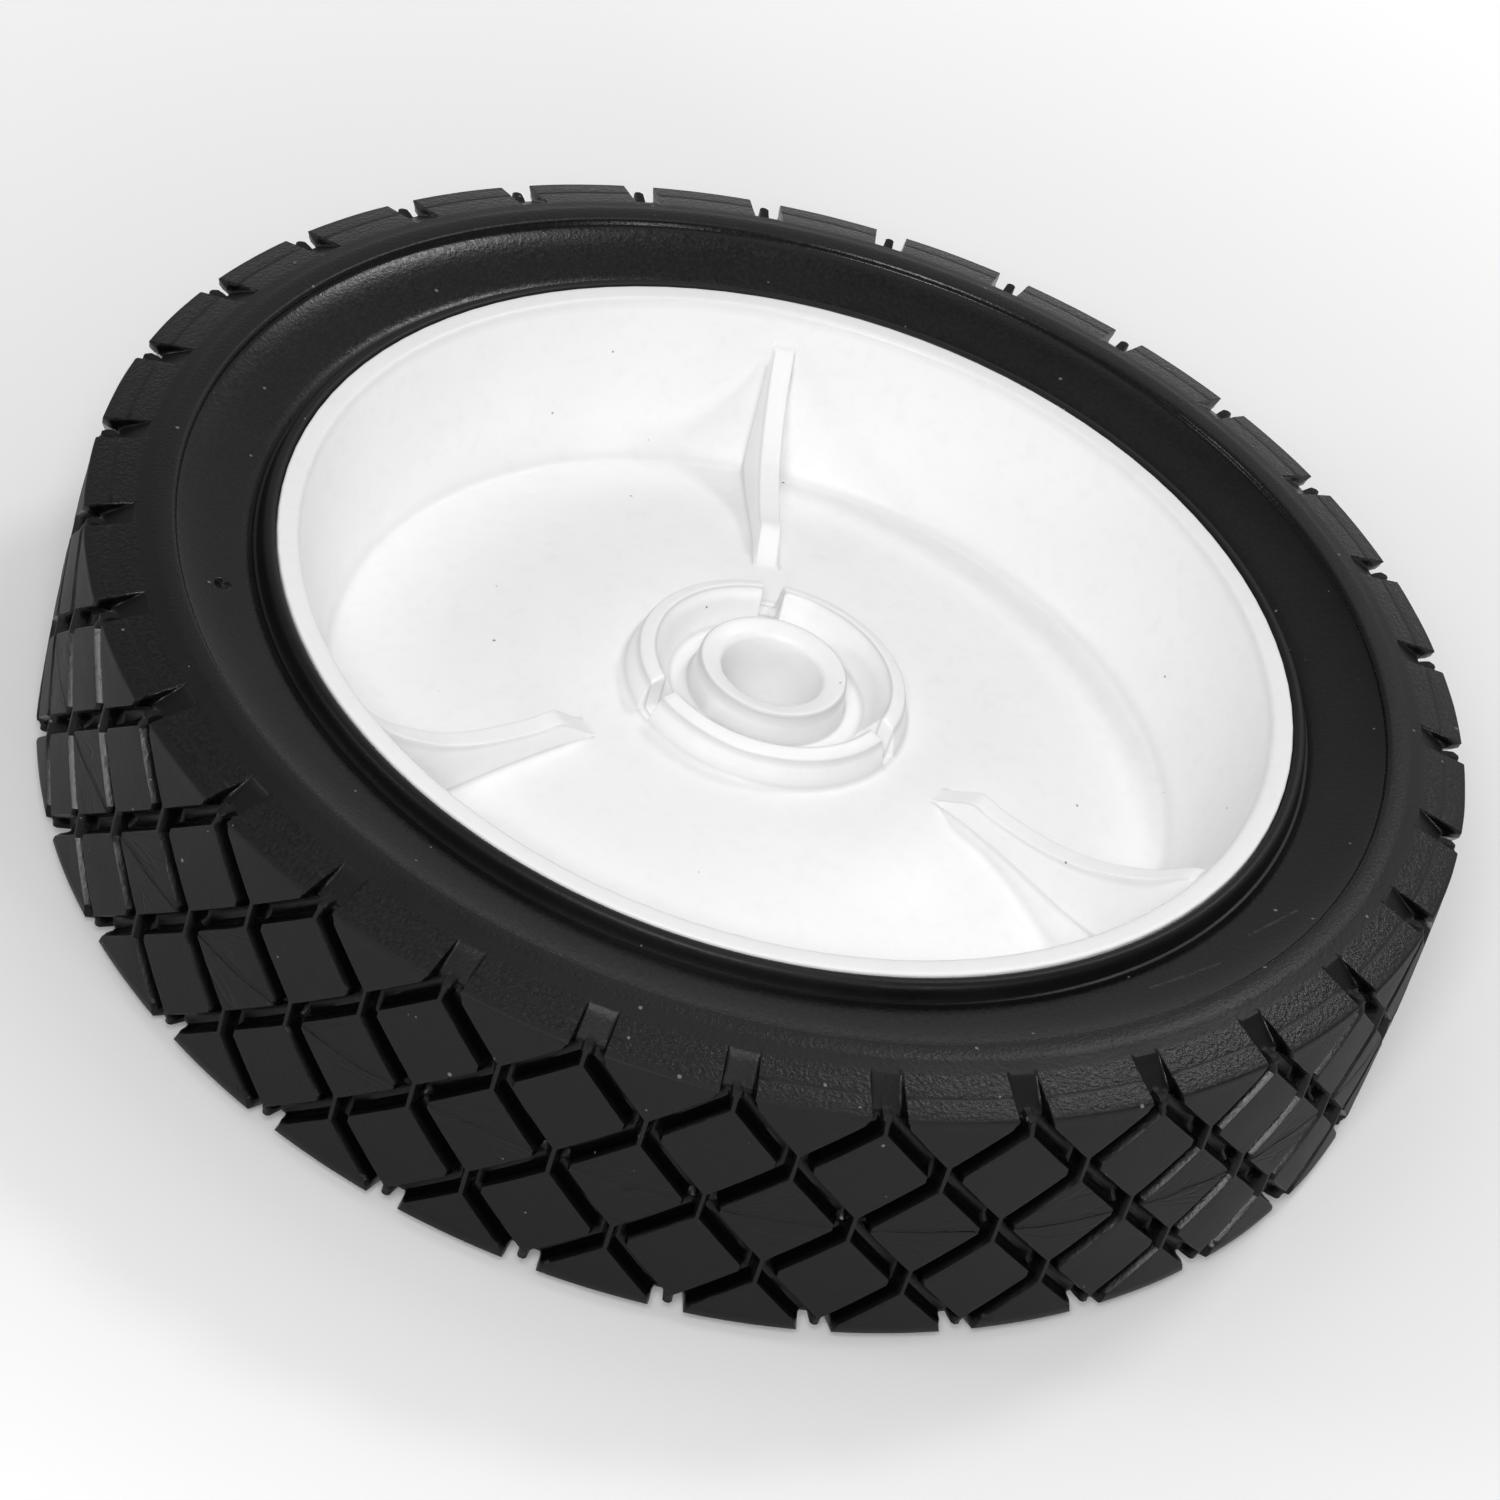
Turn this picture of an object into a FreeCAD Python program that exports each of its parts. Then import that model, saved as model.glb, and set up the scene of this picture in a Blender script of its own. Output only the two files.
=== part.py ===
import FreeCAD, Part
import Sketcher
import math
import os
from FreeCAD import Vector, Placement, Rotation

# Lawn mower wheel, 7 x 1-1/2 in class: a moulded rubber tyre on a one-piece plastic hub.
# Millimetres. Z is the axle, the dished side that is seen faces +Z, and Z = 0 is the tread mid-plane.

doc = FreeCAD.newDocument("mower_wheel")
sheet = doc.addObject("Spreadsheet::Sheet", "Dims")

TABLE = [
    # general
    ("base_drop", 25.0, "height of the mid-plane above the plane that sketches are drawn from"),
    ("side_shift", 12.0, "sideways shift of the groove sketches"),
    # tyre tread
    ("tread_radius", 88.9, "outer radius, 7 in wheel"),
    ("tread_crown", 0.1, "crown drop a quarter of the way out"),
    ("tread_pitches", 31, "diamonds round the tread"),
    ("tread_phase", 2.014, "angle of the first diamond column, degrees"),
    ("groove_depth", 2.5, "tread groove depth"),
    ("groove_over", 0.8, "how far groove cutters stand proud of the tread"),
    ("row_step", 8.58, "axial step between groove crossings"),
    ("groove_half_top", 1.588, "half the axial width of a groove at the tread"),
    ("groove_half_floor", 0.981, "half the axial width of a groove at its floor"),
    ("web_half_top", 0.35, "half thickness of the crossing webs at the tread"),
    ("web_half_floor", 0.75, "half thickness of the crossing webs at the floor"),
    ("corner_top", 2.2, "distance of a blunted diamond corner from its crossing, at the tread"),
    ("corner_floor", 1.8, "the same at the groove floor"),
    ("notch_half", 2.1, "half width of a shoulder notch"),
    ("notch_end", 16.55, "height of a shoulder notch's end wall"),
    ("groove_end", 17.0, "height where grooves run out into the notches"),
    # tyre section
    ("bead_radius", 65.0, "tyre bead against the rim lip"),
    ("bead_foot", 18.3, "height where the bead leaves the lip"),
    ("bead_top", 18.7, "height of the rounded bead"),
    ("bead_in", 65.3, "bead top, inner radius"),
    ("bead_out", 66.2, "bead top, outer radius"),
    ("bead_fall_r", 66.7, "bead outer slope radius"),
    ("bead_fall_z", 18.0, "bead outer slope height"),
    ("valley_in_r", 66.9, "groove beside the bead, inner radius"),
    ("valley_in_z", 16.9, "groove beside the bead, inner height"),
    ("valley_r", 67.5, "groove beside the bead, bottom radius"),
    ("valley_z", 16.6, "groove beside the bead, bottom height"),
    ("valley_out_r", 68.5, "groove beside the bead, outer radius"),
    ("side_a_r", 72.0, "sidewall radius a"),
    ("side_a_z", 17.4, "sidewall height a"),
    ("side_b_r", 75.0, "sidewall radius b"),
    ("side_b_z", 18.2, "sidewall height b"),
    ("side_c_r", 76.5, "sidewall radius c"),
    ("side_c_z", 19.1, "sidewall height c"),
    ("face_in", 77.4, "flat face ring, inner radius"),
    ("face_out", 79.9, "flat face ring, outer radius"),
    ("face_z", 20.0, "half the tyre width"),
    ("shoulder_in_r", 80.6, "shoulder slope, inner radius"),
    ("shoulder_in_z", 19.7, "shoulder slope, inner height"),
    ("shoulder_out_r", 87.4, "shoulder slope, outer radius"),
    ("shoulder_out_z", 17.4, "shoulder slope, outer height"),
    ("tread_edge_r", 88.5, "tread edge radius"),
    ("tread_edge_z", 16.6, "tread edge height"),
    ("crown_z", 9.0, "height of the crown break"),
    # rim seat shared by tyre and hub
    ("seat_z", 16.0, "height of the seat under the lip"),
    ("seat_r", 64.3, "seat radius under the lip"),
    ("well_r", 60.6, "bottom radius of the rim well"),
    ("well_front_z", 1.0, "rim well, front height"),
    ("well_back_drop", 6.0, "rim well, depth of the back corner below the mid-plane"),
    # hub
    ("bore_r", 6.5, "plain bore for a 1/2 in axle"),
    ("bore_back_drop", 19.2, "back end of the boss below the mid-plane"),
    ("bore_mouth_r", 7.0, "bore mouth radius"),
    ("bore_mouth_z", 8.8, "bore mouth start height"),
    ("boss_top_z", 9.3, "boss top height"),
    ("boss_top_r", 9.5, "boss top outer radius"),
    ("boss_foot_r", 10.1, "boss foot radius"),
    ("moat_z", 4.8, "height of the moat floor round the boss"),
    ("moat_r", 12.6, "moat outer radius"),
    ("ring_in_r", 15.3, "ring top, inner radius"),
    ("ring_in_z", 9.5, "ring top, inner height"),
    ("ring_out_r", 17.2, "ring top, outer radius"),
    ("ring_out_z", 8.7, "ring top, outer height"),
    ("ring_foot_r", 18.3, "ring foot radius"),
    ("ring_foot_z", 4.7, "ring foot height"),
    ("dome_a_r", 25.5, "dome radius a"),
    ("dome_a_z", 4.4, "dome height a"),
    ("dome_b_r", 32.0, "dome radius b"),
    ("dome_b_z", 3.4, "dome height b"),
    ("dome_c_r", 39.0, "dome radius c"),
    ("dome_c_z", 1.6, "dome height c"),
    ("dome_d_r", 46.0, "dome radius d"),
    ("dome_d_drop", 0.8, "dome drop d below the mid-plane"),
    ("dish_r", 55.2, "foot of the dish wall, radius"),
    ("dish_drop", 2.9, "foot of the dish wall below the mid-plane"),
    ("dish_fillet", 4.0, "fillet at the foot of the dish wall"),
    ("lip_in", 62.3, "lip inner radius"),
    ("lip_z", 18.7, "lip height each side"),
    ("lip_round", 0.6, "rounding of the lip's inner edge"),
    ("back_lip_in", 62.0, "back lip inner radius"),
    ("back_dish_r", 57.0, "back dish foot radius"),
    ("back_dish_drop", 6.4, "back dish foot below the mid-plane"),
    ("disc_thick", 3.2, "thickness of the domed disc"),
    ("back_boss_r", 10.4, "boss outer radius at the back end"),
    ("back_boss_foot", 10.8, "boss outer radius at the disc"),
    # ribs
    ("rib_angle", 46.3, "angle of the first rib, degrees"),
    ("rib_count", 3, "gusset ribs"),
    ("rib_thick", 3.0, "rib thickness"),
    ("rib_out_r", 61.2, "rib outer end, inside the wall"),
    ("rib_out_z", 14.2, "rib outer end height"),
    ("rib_a_r", 59.4, "rib edge radius a"),
    ("rib_a_z", 13.9, "rib edge height a"),
    ("rib_b_r", 57.0, "rib edge radius b"),
    ("rib_b_z", 12.0, "rib edge height b"),
    ("rib_c_r", 54.0, "rib edge radius c"),
    ("rib_c_z", 10.0, "rib edge height c"),
    ("rib_d_r", 51.0, "rib edge radius d"),
    ("rib_d_z", 8.5, "rib edge height d"),
    ("rib_e_r", 47.7, "rib edge radius e"),
    ("rib_e_z", 7.2, "rib edge height e"),
    ("rib_f_r", 44.0, "rib edge radius f"),
    ("rib_f_z", 6.4, "rib edge height f"),
    ("rib_g_r", 40.0, "rib edge radius g"),
    ("rib_g_z", 6.1, "rib edge height g"),
    ("rib_h_r", 36.0, "rib edge radius h"),
    ("rib_h_z", 6.3, "rib edge height h"),
    ("rib_i_r", 33.0, "rib edge radius i"),
    ("rib_i_z", 6.7, "rib edge height i"),
    ("rib_tip_r", 31.0, "rib tip radius"),
    ("rib_tip_z", 7.3, "rib tip height"),
    ("rib_end_r", 25.4, "rib foot radius"),
    ("rib_end_z", 4.2, "rib foot height"),
    # slots in the ring
    ("slot_half", 1.3, "half width of the slots in the ring"),
    ("slot_in_r", 11.4, "slot inner radius"),
    ("slot_out_r", 19.4, "slot outer radius"),
    ("slot_top_z", 11.0, "height the slots are cut from"),
]

VALUE = {}
for row, (alias, number, note) in enumerate(TABLE, 1):
    sheet.set("A%d" % row, note)
    sheet.set("B%d" % row, repr(number))
    sheet.setAlias("B%d" % row, alias)
    VALUE[alias] = float(number)
doc.recompute()


class Val:
    """A sheet value, or a sum of them: its number and the expression that gives it."""

    def __init__(self, num, text):
        self.num = float(num)
        self.text = text

    @staticmethod
    def of(other):
        return other if isinstance(other, Val) else Val(other, repr(float(other)))

    def __add__(self, other):
        other = Val.of(other)
        return Val(self.num + other.num, "(%s + %s)" % (self.text, other.text))

    def __sub__(self, other):
        other = Val.of(other)
        return Val(self.num - other.num, "(%s - %s)" % (self.text, other.text))

    def __mul__(self, other):
        other = Val.of(other)
        return Val(self.num * other.num, "(%s * %s)" % (self.text, other.text))

    def __truediv__(self, other):
        other = Val.of(other)
        return Val(self.num / other.num, "(%s / %s)" % (self.text, other.text))


def D(alias):
    return Val(VALUE[alias], "Dims." + alias)


def up(z):
    """Height above the sketch base plane of a height above the mid-plane."""
    return D("base_drop") + z


def down(z):
    return D("base_drop") - z


def origin_item(body, role):
    return [item for item in body.Origin.OriginFeatures if item.Role == role][0]


def new_body(name):
    body = doc.addObject("PartDesign::Body", name)
    body.Label = name
    return body


def outline(body, name, role, points, offset=None):
    """A closed outline of straight lines whose corners are bound to the sheet."""
    sk = body.newObject("Sketcher::SketchObject", name)
    sk.AttachmentSupport = [(origin_item(body, role), "")]
    sk.MapMode = "FlatFace"
    if offset is not None:
        sk.AttachmentOffset = offset
    count = len(points)
    lines = []
    for i in range(count):
        a, b = points[i], points[(i + 1) % count]
        lines.append(Part.LineSegment(Vector(a[0].num, a[1].num, 0), Vector(b[0].num, b[1].num, 0)))
    sk.addGeometry(lines, False)
    sk.addConstraint([Sketcher.Constraint("Coincident", i, 2, (i + 1) % count, 1) for i in range(count)])
    for i in range(count):
        ix = sk.addConstraint(Sketcher.Constraint("DistanceX", -1, 1, i, 1, points[i][0].num))
        sk.setExpression("Constraints[%d]" % ix, points[i][0].text)
        iy = sk.addConstraint(Sketcher.Constraint("DistanceY", -1, 1, i, 1, points[i][1].num))
        sk.setExpression("Constraints[%d]" % iy, points[i][1].text)
    return sk


def revolve(body, name, sk):
    rev = body.newObject("PartDesign::Revolution", name)
    rev.Profile = sk
    rev.ReferenceAxis = (sk, ["V_Axis"])
    rev.Angle = 360.0
    doc.recompute()
    return rev


def polar(body, name, originals, count):
    pat = body.newObject("PartDesign::PolarPattern", name)
    pat.Originals = originals
    pat.Axis = (origin_item(body, "Z_Axis"), [""])
    pat.Angle = 360.0
    pat.Occurrences = int(count.num)
    pat.setExpression("Occurrences", count.text)
    body.Tip = pat
    doc.recompute()
    return pat


def circle_edges(shape, radius, height, tol=0.02):
    """Names of the circular edges of a given radius at a given height."""
    names = []
    for i, edge in enumerate(shape.Edges, 1):
        curve = edge.Curve
        if isinstance(curve, Part.Circle) and abs(curve.Radius - radius) < tol \
                and abs(curve.Center.z - height) < tol:
            names.append("Edge%d" % i)
    return names


def round_edges(body, name, base, edges, radius):
    fil = body.newObject("PartDesign::Fillet", name)
    fil.Base = (base, edges)
    fil.Radius = radius.num
    fil.setExpression("Radius", radius.text)
    body.Tip = fil
    doc.recompute()
    return fil


# --------------------------------------------------------------------------------------------------
# wheel hub: rim, dish wall, domed disc, boss and ring turned from one section, then ribs and slots
# --------------------------------------------------------------------------------------------------
hub = new_body("wheel_hub")
Z0 = D("base_drop")
thick = D("disc_thick")

hub_section = [
    (D("bore_r"), down(D("bore_back_drop"))),
    (D("bore_r"), up(D("bore_mouth_z"))),
    (D("bore_mouth_r"), up(D("boss_top_z"))),
    (D("boss_top_r"), up(D("boss_top_z"))),
    (D("boss_foot_r"), up(D("moat_z"))),
    (D("moat_r"), up(D("moat_z"))),
    (D("ring_in_r"), up(D("ring_in_z"))),
    (D("ring_out_r"), up(D("ring_out_z"))),
    (D("ring_foot_r"), up(D("ring_foot_z"))),
    (D("dome_a_r"), up(D("dome_a_z"))),
    (D("dome_b_r"), up(D("dome_b_z"))),
    (D("dome_c_r"), up(D("dome_c_z"))),
    (D("dome_d_r"), down(D("dome_d_drop"))),
    (D("dish_r"), down(D("dish_drop"))),
    (D("lip_in"), up(D("lip_z"))),
    (D("bead_radius"), up(D("lip_z"))),
    (D("bead_radius"), up(D("seat_z"))),
    (D("seat_r"), up(D("seat_z"))),
    (D("well_r"), up(D("well_front_z"))),
    (D("well_r"), down(D("well_back_drop"))),
    (D("seat_r"), down(D("seat_z"))),
    (D("bead_radius"), down(D("seat_z"))),
    (D("bead_radius"), down(D("lip_z"))),
    (D("back_lip_in"), down(D("lip_z"))),
    (D("back_dish_r"), down(D("back_dish_drop"))),
    (D("dome_d_r"), down(D("dome_d_drop")) - thick),
    (D("dome_c_r"), up(D("dome_c_z")) - thick),
    (D("dome_b_r"), up(D("dome_b_z")) - thick),
    (D("dome_a_r"), up(D("dome_a_z")) - thick),
    (D("ring_foot_r"), up(D("ring_foot_z")) - thick),
    (D("back_boss_foot"), up(D("ring_foot_z")) - thick),
    (D("back_boss_r"), down(D("bore_back_drop"))),
]
hub_turn = revolve(hub, "hub_turned", outline(hub, "hub_section", "XZ_Plane", hub_section))

lift = VALUE["base_drop"]
hub_corner = round_edges(hub, "hub_dish_round", hub_turn,
                         circle_edges(hub_turn.Shape, VALUE["dish_r"], lift - VALUE["dish_drop"]),
                         D("dish_fillet"))
hub_lip = round_edges(hub, "hub_lip_round", hub_corner,
                      circle_edges(hub_corner.Shape, VALUE["lip_in"], lift + VALUE["lip_z"])
                      + circle_edges(hub_corner.Shape, VALUE["back_lip_in"], lift - VALUE["lip_z"]),
                      D("lip_round"))
hub_solid_volume = hub_lip.Shape.Volume

rib_section = [(D("rib_out_r"), up(D("rib_out_z")))]
for letter in "abcdefghi":
    rib_section.append((D("rib_%s_r" % letter), up(D("rib_%s_z" % letter))))
rib_section += [
    (D("rib_tip_r"), up(D("rib_tip_z"))),
    (D("rib_end_r"), up(D("rib_end_z"))),
    (D("rib_end_r"), up(D("dome_a_z")) - thick * 0.4),
    (D("rib_g_r"), up(D("dome_c_z")) - thick * 0.6),
    (D("rib_d_r"), down(D("dish_drop")) - thick * 0.2),
    (D("rib_out_r") - 1.5, down(D("dish_drop")) - thick * 0.2),
    (D("rib_out_r") - 1.5, up(D("well_front_z")) + 6.0),
]
rib_turn = Placement(Vector(0, 0, 0), Rotation(Vector(0, 1, 0), VALUE["rib_angle"]))
rib_sketch = outline(hub, "rib_section", "XZ_Plane", rib_section, rib_turn)
rib_sketch.setExpression("AttachmentOffset.Rotation.Angle", "Dims.rib_angle")
rib = hub.newObject("PartDesign::Pad", "rib")
rib.Profile = rib_sketch
rib.SideType = "Symmetric"
rib.Length = VALUE["rib_thick"]
rib.setExpression("Length", "Dims.rib_thick")
doc.recompute()
ribs = polar(hub, "ribs", [rib], D("rib_count"))

slot_outline = [
    (D("slot_in_r"), D("side_shift") - D("slot_half")),
    (D("slot_out_r"), D("side_shift") - D("slot_half")),
    (D("slot_out_r"), D("side_shift") + D("slot_half")),
    (D("slot_in_r"), D("side_shift") + D("slot_half")),
]
turn = math.radians(VALUE["rib_angle"])
slot_at = Placement(Vector(VALUE["side_shift"] * math.sin(turn), -VALUE["side_shift"] * math.cos(turn),
                           lift + VALUE["slot_top_z"]),
                    Rotation(Vector(0, 0, 1), VALUE["rib_angle"]))
slot_sketch = outline(hub, "slot_outline", "XY_Plane", slot_outline, slot_at)
slot_sketch.setExpression("AttachmentOffset.Base.x", "Dims.side_shift * sin(Dims.rib_angle)")
slot_sketch.setExpression("AttachmentOffset.Base.y", "-Dims.side_shift * cos(Dims.rib_angle)")
slot_sketch.setExpression("AttachmentOffset.Base.z", "Dims.base_drop + Dims.slot_top_z")
slot_sketch.setExpression("AttachmentOffset.Rotation.Angle", "Dims.rib_angle")
slot = hub.newObject("PartDesign::Pocket", "slot")
slot.Profile = slot_sketch
slot.Length = VALUE["slot_top_z"] - VALUE["moat_z"]
slot.setExpression("Length", "Dims.slot_top_z - Dims.moat_z")
doc.recompute()
slots = polar(hub, "slots", [slot], D("rib_count"))
hub.Placement = Placement(Vector(0, 0, -lift), Rotation())
hub.setExpression("Placement.Base.z", "-Dims.base_drop")

# --------------------------------------------------------------------------------------------------
# tyre: one turned section, then the diamond grooves and the shoulder notches cut into it
# --------------------------------------------------------------------------------------------------
tyre = new_body("tyre")
side = ["bead_foot", "bead_top", "bead_top", "bead_fall_z", "valley_in_z", "valley_z", "valley_in_z",
        "side_a_z", "side_b_z", "side_c_z", "face_z", "face_z", "shoulder_in_z", "shoulder_out_z",
        "tread_edge_z"]
radii = ["bead_radius", "bead_in", "bead_out", "bead_fall_r", "valley_in_r", "valley_r", "valley_out_r",
         "side_a_r", "side_b_r", "side_c_r", "face_in", "face_out", "shoulder_in_r", "shoulder_out_r",
         "tread_edge_r"]
crown = D("tread_radius") - D("tread_crown")
tyre_section = [(D(r), up(D(z))) for r, z in zip(radii, side)]
tyre_section += [(crown, up(D("crown_z"))), (D("tread_radius"), Z0), (crown, down(D("crown_z")))]
tyre_section += [(D(r), down(D(z))) for r, z in reversed(list(zip(radii, side)))]
tyre_section += [
    (D("bead_radius"), down(D("seat_z"))),
    (D("seat_r"), down(D("seat_z"))),
    (D("well_r"), down(D("well_back_drop"))),
    (D("well_r"), up(D("well_front_z"))),
    (D("seat_r"), up(D("seat_z"))),
    (D("bead_radius"), up(D("seat_z"))),
]
tyre_turn = revolve(tyre, "tyre_turned", outline(tyre, "tyre_section", "XZ_Plane", tyre_section))

PI = Val(math.pi, "pi")
step = D("row_step")
floor_r = D("tread_radius") - D("groove_depth")
top_r = D("tread_radius") + D("groove_over")
grow = D("groove_over") / D("groove_depth")


def beyond(top, floor):
    """A groove width carried on past the tread to where the cutter ends."""
    return D(top) + (D(top) - D(floor)) * grow


def channel(radius, half, web, corner, mirrored):
    """The zigzag channel between two neighbouring diamond columns, seen along its own radius."""
    pitch = PI * radius / D("tread_pitches")
    slope = step / pitch
    left = D("side_shift") - pitch * 0.5
    notch = D("notch_half")
    end = D("groove_end")
    near, far = web, pitch - web
    blunt_far, blunt_near = pitch - corner, corner
    # heights on a diamond edge that falls from a crossing at height top
    row0, row1 = step * 2.0, step
    a1 = row0 - half - slope * near
    a2 = row0 - half - slope * blunt_far
    a3 = row1 + row1 - a2
    a4 = half + slope * near
    b1 = row1 + half + slope * (pitch - notch)
    b2 = row1 + half + slope * web
    b3 = row1 - half - slope * web
    b4 = row1 - half - slope * (pitch - blunt_near)
    pts = [(near, up(end)), (near, up(a1)), (blunt_far, up(a2)), (blunt_far, up(a3)), (near, up(a4)),
           (near, down(a4)), (blunt_far, down(a3)), (blunt_far, down(a2)), (near, down(a1)),
           (near, down(end)),
           (notch, down(end)), (notch, down(b1)), (far, down(b2)), (far, down(b3)), (blunt_near, down(b4)),
           (blunt_near, up(b4)), (far, up(b3)), (far, up(b2)), (notch, up(b1)), (notch, up(end))]
    if mirrored:
        right = D("side_shift") + pitch * 0.5
        return [(right - x, y) for x, y in pts]
    return [(left + x, y) for x, y in pts]


def tangent_plane(radius, sign):
    """A plane square to the radius half way between two diamond columns."""
    ang = sign * math.pi / (2.0 * VALUE["tread_pitches"])
    shift = VALUE["side_shift"]
    return Placement(Vector(radius.num * math.sin(ang) - shift * math.cos(ang), 0,
                            radius.num * math.cos(ang) + shift * math.sin(ang)),
                     Rotation(Vector(0, 1, 0), math.degrees(ang)))


lofts = []
for tag, sign in (("right", 1.0), ("left", -1.0)):
    low = outline(tyre, "channel_floor_" + tag, "YZ_Plane",
                  channel(floor_r, D("groove_half_floor"), D("web_half_floor"), D("corner_floor"), sign < 0),
                  tangent_plane(floor_r, sign))
    high = outline(tyre, "channel_top_" + tag, "YZ_Plane",
                   channel(top_r, beyond("groove_half_top", "groove_half_floor"),
                           beyond("web_half_top", "web_half_floor"),
                           beyond("corner_top", "corner_floor"), sign < 0),
                   tangent_plane(top_r, sign))
    for sk, radius in ((low, floor_r), (high, top_r)):
        ang = "(%s90 / Dims.tread_pitches)" % ("" if sign > 0 else "-")
        sk.setExpression("AttachmentOffset.Base.x",
                         "%s * sin(%s) - Dims.side_shift * cos(%s)" % (radius.text, ang, ang))
        sk.setExpression("AttachmentOffset.Base.z",
                         "%s * cos(%s) + Dims.side_shift * sin(%s)" % (radius.text, ang, ang))
    doc.recompute()
    cut = tyre.newObject("PartDesign::SubtractiveLoft", "channel_" + tag)
    cut.Profile = low
    cut.Sections = [(high, [""])]
    cut.Ruled = True
    doc.recompute()
    lofts.append(cut)

notches = []
for tag, way in (("front", up), ("back", down)):
    wedge = [
        (D("shoulder_in_r"), way(D("shoulder_in_z"))),
        (floor_r, way(D("notch_end"))),
        (top_r, way(D("notch_end"))),
        (top_r, way(D("face_z"))),
        (D("shoulder_in_r"), way(D("face_z"))),
    ]
    sk = outline(tyre, "notch_section_" + tag, "XZ_Plane", wedge)
    cut = tyre.newObject("PartDesign::Pocket", "notch_" + tag)
    cut.Profile = sk
    cut.SideType = "Symmetric"
    cut.Length = 2.0 * VALUE["notch_half"]
    cut.setExpression("Length", "2 * Dims.notch_half")
    doc.recompute()
    notches.append(cut)

tread = polar(tyre, "tread", lofts + notches, D("tread_pitches"))
tyre.Placement = Placement(Vector(0, 0, -lift), Rotation(Vector(0, 0, 1), VALUE["tread_phase"]))
tyre.setExpression("Placement.Base.z", "-Dims.base_drop")
doc.recompute()

# --------------------------------------------------------------------------------------------------
# checks and files
# --------------------------------------------------------------------------------------------------
for item in doc.Objects:
    if "Invalid" in item.State or "Error" in item.State:
        raise RuntimeError("%s is %s" % (item.Name, item.State))
    shape = getattr(item, "Shape", None)
    if shape is not None and item.TypeId.startswith("PartDesign::"):
        if shape.isNull() or not shape.isValid():
            raise RuntimeError("%s has no valid shape" % item.Name)

print("hub turned %.0f, with ribs %.0f, slotted %.0f mm3"
      % (hub_solid_volume, ribs.Shape.Volume, slots.Shape.Volume))
print("tyre turned %.0f, one pitch cut %.0f, tread %.0f mm3"
      % (tyre_turn.Shape.Volume, notches[-1].Shape.Volume, tread.Shape.Volume))
if not (ribs.Shape.Volume > hub_solid_volume and slots.Shape.Volume < ribs.Shape.Volume):
    raise RuntimeError("a rib or slot did not take")
one = tyre_turn.Shape.Volume - notches[-1].Shape.Volume
if abs((tyre_turn.Shape.Volume - tread.Shape.Volume) / one - VALUE["tread_pitches"]) > 0.5:
    raise RuntimeError("the tread pattern is not complete")

os.makedirs("parts", exist_ok=True)
for body in (tyre, hub):
    box = body.Shape.BoundBox
    print(body.Label, "solids", len(body.Shape.Solids), "faces", len(body.Shape.Faces),
          "x %.2f..%.2f y %.2f..%.2f z %.2f..%.2f" % (box.XMin, box.XMax, box.YMin, box.YMax, box.ZMin, box.ZMax))
    if len(body.Shape.Solids) != 1:
        raise RuntimeError(body.Label + " is not one solid")
    body.Shape.exportStep("parts/%s.step" % body.Label)
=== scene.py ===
import bpy
import math
import numpy as np
from mathutils import Matrix, Vector, noise


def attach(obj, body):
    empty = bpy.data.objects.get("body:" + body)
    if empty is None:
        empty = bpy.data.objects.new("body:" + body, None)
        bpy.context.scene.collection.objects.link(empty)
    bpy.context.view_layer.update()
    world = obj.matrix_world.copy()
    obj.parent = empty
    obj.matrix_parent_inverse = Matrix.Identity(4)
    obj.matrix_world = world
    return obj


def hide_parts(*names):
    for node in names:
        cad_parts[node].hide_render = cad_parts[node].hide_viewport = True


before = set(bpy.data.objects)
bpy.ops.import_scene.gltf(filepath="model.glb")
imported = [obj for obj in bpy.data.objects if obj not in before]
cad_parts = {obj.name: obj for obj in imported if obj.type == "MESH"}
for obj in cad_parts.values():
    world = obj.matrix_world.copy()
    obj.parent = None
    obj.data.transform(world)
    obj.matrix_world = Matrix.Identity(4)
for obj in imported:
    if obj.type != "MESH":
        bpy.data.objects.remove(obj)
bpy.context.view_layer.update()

# Lawn mower wheel. Shapes below are in millimetres about the wheel centre, Z along the axle, and are
# turned to metres when a mesh is made.

MM = 0.001
TAU = 2.0 * math.pi


# --------------------------------------------------------------------------------------------------
# helpers
# --------------------------------------------------------------------------------------------------
def spline(xs, ys):
    """Natural cubic spline through a few points."""
    xs, ys = np.asarray(xs, float), np.asarray(ys, float)
    n = len(xs)
    h = np.diff(xs)
    a = np.zeros((n, n))
    b = np.zeros(n)
    a[0, 0] = a[-1, -1] = 1.0
    for i in range(1, n - 1):
        a[i, i - 1], a[i, i], a[i, i + 1] = h[i - 1], 2 * (h[i - 1] + h[i]), h[i]
        b[i] = 6 * ((ys[i + 1] - ys[i]) / h[i] - (ys[i] - ys[i - 1]) / h[i - 1])
    m = np.linalg.solve(a, b)

    def value(x):
        i = int(np.clip(np.searchsorted(xs, x) - 1, 0, n - 2))
        d0, d1 = x - xs[i], xs[i + 1] - x
        return (m[i] * d1 ** 3 + m[i + 1] * d0 ** 3) / (6 * h[i]) \
            + (ys[i] / h[i] - m[i] * h[i] / 6) * d1 + (ys[i + 1] / h[i] - m[i + 1] * h[i] / 6) * d0

    return value


def bend(p, q, r, count):
    """Points of a rounded corner at q, from p to r, ends included."""
    out = []
    for i in range(count + 1):
        t = i / count
        out.append(tuple((1 - t) ** 2 * p[k] + 2 * t * (1 - t) * q[k] + t * t * r[k] for k in (0, 1)))
    return out


def lerp(a, b, t):
    return a + (b - a) * t


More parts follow.
